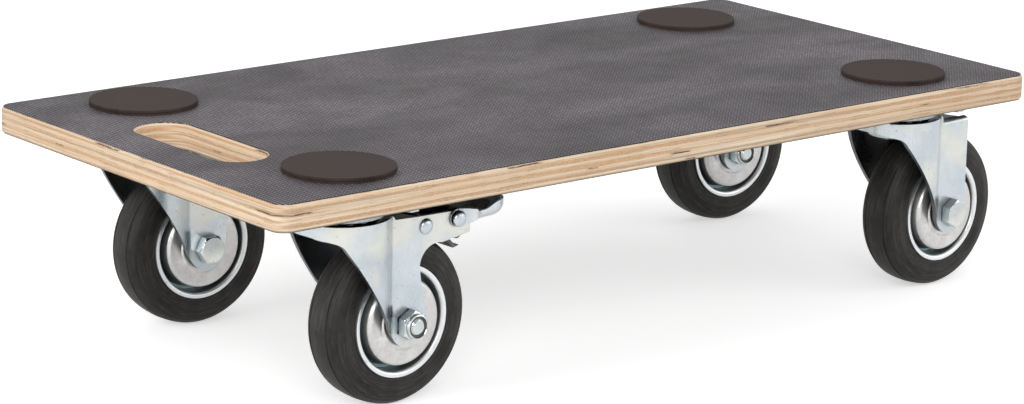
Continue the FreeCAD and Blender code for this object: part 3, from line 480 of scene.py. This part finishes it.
def rounded_path(points, steps=6):
    """Replaces each (a, b, radius) corner of an open path by an arc of that radius."""
    path = [Vector(points[0][:2])]
    for before, here, after in zip(points, points[1:], points[2:]):
        corner, radius = Vector(here[:2]), here[2]
        to_before = (Vector(before[:2]) - corner).normalized()
        to_after = (Vector(after[:2]) - corner).normalized()
        angle = to_before.angle(to_after)
        if radius == 0 or angle > math.radians(179):
            path.append(corner)
            continue
        reach = radius / math.tan(angle / 2)
        centre = corner + (to_before + to_after).normalized() * (radius / math.sin(angle / 2))
        start, end = corner + to_before * reach - centre, corner + to_after * reach - centre
        sweep = start.angle_signed(end)
        for i in range(steps + 1):
            turn = Matrix.Rotation(-sweep * i / steps, 2)
            path.append(centre + turn @ start)
    path.append(Vector(points[-1][:2]))
    return path


def sheet_loop(path, thick):
    """A closed loop round an open centre path, thick apart."""
    left, right = [], []
    for i, point in enumerate(path):
        run = path[min(i + 1, len(path) - 1)] - path[max(i - 1, 0)]
        normal = Vector((-run.y, run.x)).normalized() * (thick / 2)
        left.append(point + normal)
        right.append(point - normal)
    return left + right[::-1]


def lathe(name, loop, look, matrix, steps):
    """Turns a closed loop of (radius, distance along Y) about local Y."""
    verts, faces = [], []
    for i in range(steps):
        angle = 2 * math.pi * i / steps
        cos, sin = math.cos(angle), math.sin(angle)
        verts += [(r * cos, a, r * sin) for r, a in loop]
    count = len(loop)
    for i in range(steps):
        here, there = i * count, (i + 1) % steps * count
        for j in range(count):
            k = (j + 1) % count
            faces.append((here + j, here + k, there + k, there + j))
    return make_object(name, verts, faces, look, matrix)


def mirrored(profile):
    """A (radius, distance along Y) profile carried over to the other side of Y = 0."""
    return [Vector((r, -a)) for r, a in profile]


def across(castor, back, height):
    """The frame of a pin or wheel that lies across a castor, Y along it."""
    return castor @ Matrix.Translation((back * MM, 0, height * MM))


def facing(side):
    """Turns Y to one side of a castor or the other."""
    return Matrix.Identity(4) if side > 0 else Matrix.Rotation(math.pi, 4, "Z")


# ------------------------------------------------------------------ wheel
def wheel_pieces(name, castor):
    """The tyre and the two rim discs."""
    hub = across(castor, AXLE_BACK, AXLE_HEIGHT)
    body = f"{name}_wheel"
    flank = rounded_path([
        (31.3, 12.5, 0), (33.0, 12.5, 0.3), (34.4, 13.2, 0.8), (40.8, 13.6, 6), (47.0, 12.0, 3.5),
        (49.1, 8.6, 1.2), (49.35, 7.9, 0.2), (48.75, 7.6, 0.2), (48.75, 6.9, 0.2), (49.55, 6.6, 0.3),
        (49.85, 3.2, 20), (50.0, 0.0, 0),
    ])
    tyre = lathe(f"{name}_tyre_rubber", flank + mirrored(flank[-2::-1]), "tyre_rubber", hub, 192)
    attach(tyre, body, "tyre_rubber", f"{name}_tyre")

    pressed = rounded_path([
        (11.8, 0.9, 0), (11.8, 16.4, 1.2), (15.2, 16.4, 0.6), (16.2, 15.6, 0.6), (24.7, 15.6, 2.0),
        (26.4, 0.9, 1.6), (30.3, 0.9, 1.1), (30.3, 13.4, 1.0), (32.75, 13.4, 0),
    ])
    half = sheet_loop(pressed, SHEET)
    for label, loop in (("left", mirrored(half)), ("right", half)):
        disc = lathe(f"{name}_rim_{label}", loop, "rim_steel", hub, 160)
        attach(disc, body, "rim_steel", f"{name}_rim_halves")


# ------------------------------------------------------------------ hexagon hardware
def round_rings(*sections):
    """Round rings, one for each (radius, distance along Y)."""
    angles = [2 * math.pi * i / RING_STEPS for i in range(RING_STEPS)]
    return [[(radius, angle, level) for angle in angles] for radius, level in sections]


def hex_rings(base, height, chamfer_base):
    """Rings of a hexagon whose corners are turned off by cones, at the top and if asked at the base."""
    shares = [i / 8 for i in range(9)]
    levels = [base]
    if chamfer_base:
        levels += [base + HEX_CHAMFER * share for share in shares[1:]]
    levels += [base + height - HEX_CHAMFER + HEX_CHAMFER * share for share in shares]
    rings = []
    for level in levels:
        room = base + height - level
        if chamfer_base:
            room = min(room, level - base)
        cone = HEX_FLATS / 2 - 0.25 + room * 1.75
        ring = []
        for i in range(RING_STEPS):
            angle = 2 * math.pi * i / RING_STEPS
            from_flat = (angle + math.pi / 6) % (math.pi / 3) - math.pi / 6
            ring.append((min(HEX_FLATS / 2 / math.cos(from_flat), cone), angle, level))
        rings.append(ring)
    return rings


def thread_rings(start, end):
    """Rings of a screw thread, drawn as closed ridges."""
    rings = []
    level = start
    while level < end:
        rings += round_rings((4.35, level), (4.93, level + 0.45), (4.93, level + 0.6))
        level += 1.25
    return rings


def ring_piece(name, rings, look, matrix, capped=True):
    """A piece through rings of (radius, angle, distance along Y), its ends capped unless it is a tube."""
    verts, faces = [], []
    for ring in rings:
        verts += [(r * math.cos(t), a, r * math.sin(t)) for r, t, a in ring]
    steps = RING_STEPS
    for j in range(len(rings) - 1):
        for i in range(steps):
            k = (i + 1) % steps
            faces.append((j * steps + i, j * steps + k, (j + 1) * steps + k, (j + 1) * steps + i))
    if capped:
        faces.append(tuple(range(steps)))
        faces.append(tuple(range(len(verts) - steps, len(verts))))
    return make_object(name, verts, faces, look, matrix, 25)


def bolt_piece(name, matrix):
    """The axle bolt, from its threaded end to its chamfered head."""
    rings = round_rings((0.4, -29.4), (3.6, -29.4), (4.3, -28.9))
    rings += thread_rings(-28.7, -18.5)
    rings += round_rings((4.95, -17.9), (4.95, FORK_FACE), (7.7, FORK_FACE))
    rings += hex_rings(20.7, 6.2, False)
    rings += round_rings((7.1, 26.9), (6.6, 26.8), (0.4, 26.8))
    return ring_piece(f"{name}_bolt", rings, "bolt_zinc", matrix)


def nut_piece(name, matrix):
    """The axle nut, a hexagon with a round collar that holds the nylon ring."""
    rings = round_rings((5.05, FORK_FACE), (7.7, FORK_FACE))
    rings += hex_rings(20.6, 6.1, True)
    rings += round_rings((7.6, 26.75), (7.5, 28.2), (7.2, 28.8), (6.5, 29.1))
    rings += round_rings((6.2, 28.8), (6.2, 27.9), (5.05, 27.9))
    return ring_piece(f"{name}_nut", rings + [rings[0]], "bolt_zinc", matrix, capped=False)


def axle_pieces(name, castor, head_side):
    """The axle bolt, and on the other side the nut with its nylon ring."""
    body = f"{name}_swivel"
    turned = Matrix.Rotation(math.radians(BOLT_TURN.get(name, 0)), 4, "Y")
    axle = across(castor, AXLE_BACK, AXLE_HEIGHT) @ turned
    nut_frame = axle @ facing(-head_side)
    attach(bolt_piece(name, axle @ facing(head_side)), body, "zinc_steel", f"{name}_axle_bolt")
    attach(nut_piece(name, nut_frame), body, "zinc_steel", f"{name}_axle_nut")
    ring = [Vector(p) for p in ((5.02, 26.6), (6.15, 26.6), (6.15, 28.35), (5.6, 28.6), (5.02, 28.45))]
    attach(lathe(f"{name}_nut_insert", ring, "nut_nylon", nut_frame, 72), body, "cage_plastic")


# ------------------------------------------------------------------ brake
def rivet_pieces(name, castor):
    """Two rivets across the brake ears, with low domed heads."""
    body = f"{name}_swivel"
    for label, back, height, grip in RIVETS:
        dome = [Vector(p) for p in (
            (0.02, grip + 2.1), (1.6, grip + 2.05), (3.0, grip + 1.75), (4.0, grip + 1.2),
            (4.55, grip + 0.55), (4.65, grip + 0.1), (4.5, grip), (2.95, grip),
        )]
        loop = dome + mirrored(dome[::-1])
        rivet = lathe(f"{name}_{label}_rivet", loop, "zinc_steel", across(castor, back, height), 64)
        attach(rivet, body, "zinc_steel", f"{name}_brake_rivets")


def eased(value, start, reach):
    """A smooth 0 to 1 as value runs from start over reach."""
    share = min(max((value - start) / reach, 0), 1)
    return share * share * (3 - 2 * share)


def pedal_section(along):
    """The pedal tray's half width, floor height and rim height at a distance back."""
    half = 21.5 - 5.5 * eased(along, 82, 10)
    if along > TRAY_END:
        share = (along - TRAY_END) / 16
        half *= math.sqrt(max(1 - share * share, 0.0))
    lift = min(max((along - 99) / 17.5, 0), 1) ** 2 * 2.6
    floor = 103.2 - 2.8 * eased(along, 81, 8) + lift
    rim = 109.8 - 3.6 * eased(along, 81.6, 8) + 3.6 * eased(along, 93, 12)
    return half, floor, rim


def tray_row(along):
    """Points on the outside of the tray at a distance back, from one rim under the floor to the other."""
    corner_steps, wall_steps = 12, 5
    half, floor, rim = pedal_section(along)
    corner = min(6.0, half * 0.8, rim - floor - 0.6)
    side = [(half, rim - (rim - floor - corner) * i / wall_steps) for i in range(wall_steps)]
    for i in range(corner_steps + 1):
        turn = math.pi / 2 * i / corner_steps
        side.append((half - corner + corner * math.cos(turn), floor + corner - corner * math.sin(turn)))
    row = side + [(0.0, floor - 0.15)] + [(-lat, z) for lat, z in reversed(side)]
    return [(along, lat, z) for lat, z in row]


def tray_piece(name, castor):
    """The pedal's shallow round-ended tray."""
    stations = [82.2 + 1.525 * i for i in range(13)]
    stations += [TRAY_END + 15.6 * share for share in (0.15, 0.3, 0.45, 0.58, 0.7, 0.8, 0.88, 0.94, 0.98)]
    rows = [tray_row(along) for along in stations]
    count = len(rows[0])
    faces = []
    for i in range(len(rows) - 1):
        for j in range(count - 1):
            faces.append((i * count + j, i * count + j + 1, (i + 1) * count + j + 1, (i + 1) * count + j))
    last = (len(rows) - 1) * count
    for j in range(count // 2):
        a, b = last + j, last + count - 1 - j
        c, d = last + j + 1, last + count - 2 - j
        faces.append((a, c, b) if c == d else (a, c, d, b))
    verts = [point for row in rows for point in row]
    tray = make_object(f"{name}_pedal_tray", verts, faces, "pedal_zinc", castor)
    sheet = tray.modifiers.new("Sheet", "SOLIDIFY")
    sheet.thickness = SHEET * MM
    sheet.offset = -1
    bevel(tray, 0.4, 40)
    return tray


def cheek_piece(name, castor, label, side):
    """One of the pedal's flat cheeks, outside the fork's ear."""
    outline = cheek_outline()
    ring = len(outline)
    verts = [(u, lat * side, z) for lat in (20.6, 21.5) for u, z in outline]
    faces = [tuple(range(ring)), tuple(range(2 * ring - 1, ring - 1, -1))]
    faces += [(i, (i + 1) % ring, ring + (i + 1) % ring, ring + i) for i in range(ring)]
    cheek = make_object(f"{name}_pedal_cheek_{label}", verts, faces, "zinc_steel", castor)
    bevel(cheek, 0.35, 50)
    return cheek


def pedal_pieces(name, castor):
    """The foot pedal: two cheeks outside the ears that run into a shallow round-ended tray."""
    right, left = cheek_piece(name, castor, "right", 1), cheek_piece(name, castor, "left", -1)
    for piece in (tray_piece(name, castor), right, left):
        attach(piece, f"{name}_pedal", "zinc_steel", f"{name}_brake_pedal")


def cheek_outline():
    """The side view of a pedal cheek: a rounded lobe about the rivet that runs back into the tray."""
    corners = [
        (76, 101.6, 0), (83.6, 103.0, 0.8), (83.8, 109.3, 0.8), (76, 110.9, 9), (69, 111.9, 4),
        (63.4, 111.9, 5.4), (63.4, 100.6, 5.4), (76, 101.6, 0),
    ]
    path = rounded_path(corners, 8)
    return [(p.x, p.y) for p in path[:-1]]


# ------------------------------------------------------------------ stage
def floor():
    """A pale floor, lit a little by itself, that is see-through from below."""
    reach = 12.0
    corners = [(-reach, -reach, 0), (reach, -reach, 0), (reach, reach, 0), (-reach, reach, 0)]
    mesh = bpy.data.meshes.new("floor")
    mesh.from_pydata(corners, [], [(0, 1, 2, 3)])
    s = material("floor")
    ray = s.node("LightPath").outputs
    seen = s.math("MAXIMUM", ray["Is Camera Ray"], s.math("MULTIPLY", ray["Is Glossy Ray"], 0.72))
    from_below = s.node("NewGeometry").outputs["Backfacing"]
    mesh.materials.append(s.finish(
        Base_Color=s.mix(seen, (0.42, 0.42, 0.42), (0.90, 0.90, 0.90)), Roughness=0.9, Specular_IOR_Level=0.0,
        Emission_Color=(1.0, 1.0, 1.0), Emission_Strength=s.math("MULTIPLY", seen, 0.50),
        Alpha=s.math("SUBTRACT", 1.0, from_below)))
    scene_object("floor", mesh)


def surround():
    """A bright soft surround that fades upwards, with a few darker gaps for the metal to reflect."""
    world = bpy.data.worlds.new("studio")
    bpy.context.scene.world = world
    s = Shader(world, "Generated")
    fade = s.remap(s.axes()[2], 0.12, 0.75, 1.15, 0.50)
    cover = s.remap(s.noise(1.6, 1.0, 0.5), 0.40, 0.56, 0.30, 1.20, smooth=True)
    glow = s.node("Background", {"Color": (1.0, 1.0, 1.0), "Strength": s.math("MULTIPLY", fade, cover)})
    s.node("OutputWorld", {"Surface": glow.outputs[0]})


def lights():
    """Four soft lights: name, position, power in watts and size."""
    aim = Vector((0, 0, 0.08))
    for name, at, power, size in (
        ("key", (-1.7, -2.2, 1.5), 38, 1.8),
        ("side", (-2.6, 0.1, 1.1), 24, 1.6),
        ("fill", (1.9, -1.8, 1.2), 9, 1.6),
        ("top", (0.2, 0.6, 2.6), 10, 2.2),
    ):
        light = bpy.data.lights.new(name, "AREA")
        light.energy = power
        light.size = size
        holder = scene_object(name, light)
        holder.location = at
        holder.rotation_euler = (aim - Vector(at)).to_track_quat("-Z", "Y").to_euler()


def camera():
    """The camera, low over the front left corner with a long lens."""
    azimuth, elevation, roll = math.radians(39.34), math.radians(14.58), math.radians(-1.19)
    level = math.cos(elevation)
    ahead = Vector((level * math.sin(azimuth), level * math.cos(azimuth), -math.sin(elevation)))
    right = Vector((math.cos(azimuth), -math.sin(azimuth), 0))
    down = ahead.cross(right)
    rolled_right = right * math.cos(roll) + down * math.sin(roll)
    rolled_down = down * math.cos(roll) - right * math.sin(roll)
    data = bpy.data.cameras.new("camera")
    data.sensor_width = 36
    data.lens = 128.63
    data.clip_end = 50
    eye = scene_object("camera", data)
    turn = Matrix((rolled_right, -rolled_down, -ahead)).transposed().to_4x4()
    eye.matrix_world = Matrix.Translation((-1.3918, -1.6847, 0.6367)) @ turn
    bpy.context.scene.camera = eye


# ------------------------------------------------------------------ build
dress_cad_nodes()
for castor_name in CASTORS:
    castor_frame = castor_matrix(castor_name)
    braked = castor_name in BRAKED
    wheel_pieces(castor_name, castor_frame)
    axle_pieces(castor_name, castor_frame, 1 if braked else -1)
    if braked:
        rivet_pieces(castor_name, castor_frame)
        pedal_pieces(castor_name, castor_frame)
floor()
surround()
lights()
camera()
bpy.context.scene.view_settings.view_transform = "Standard"
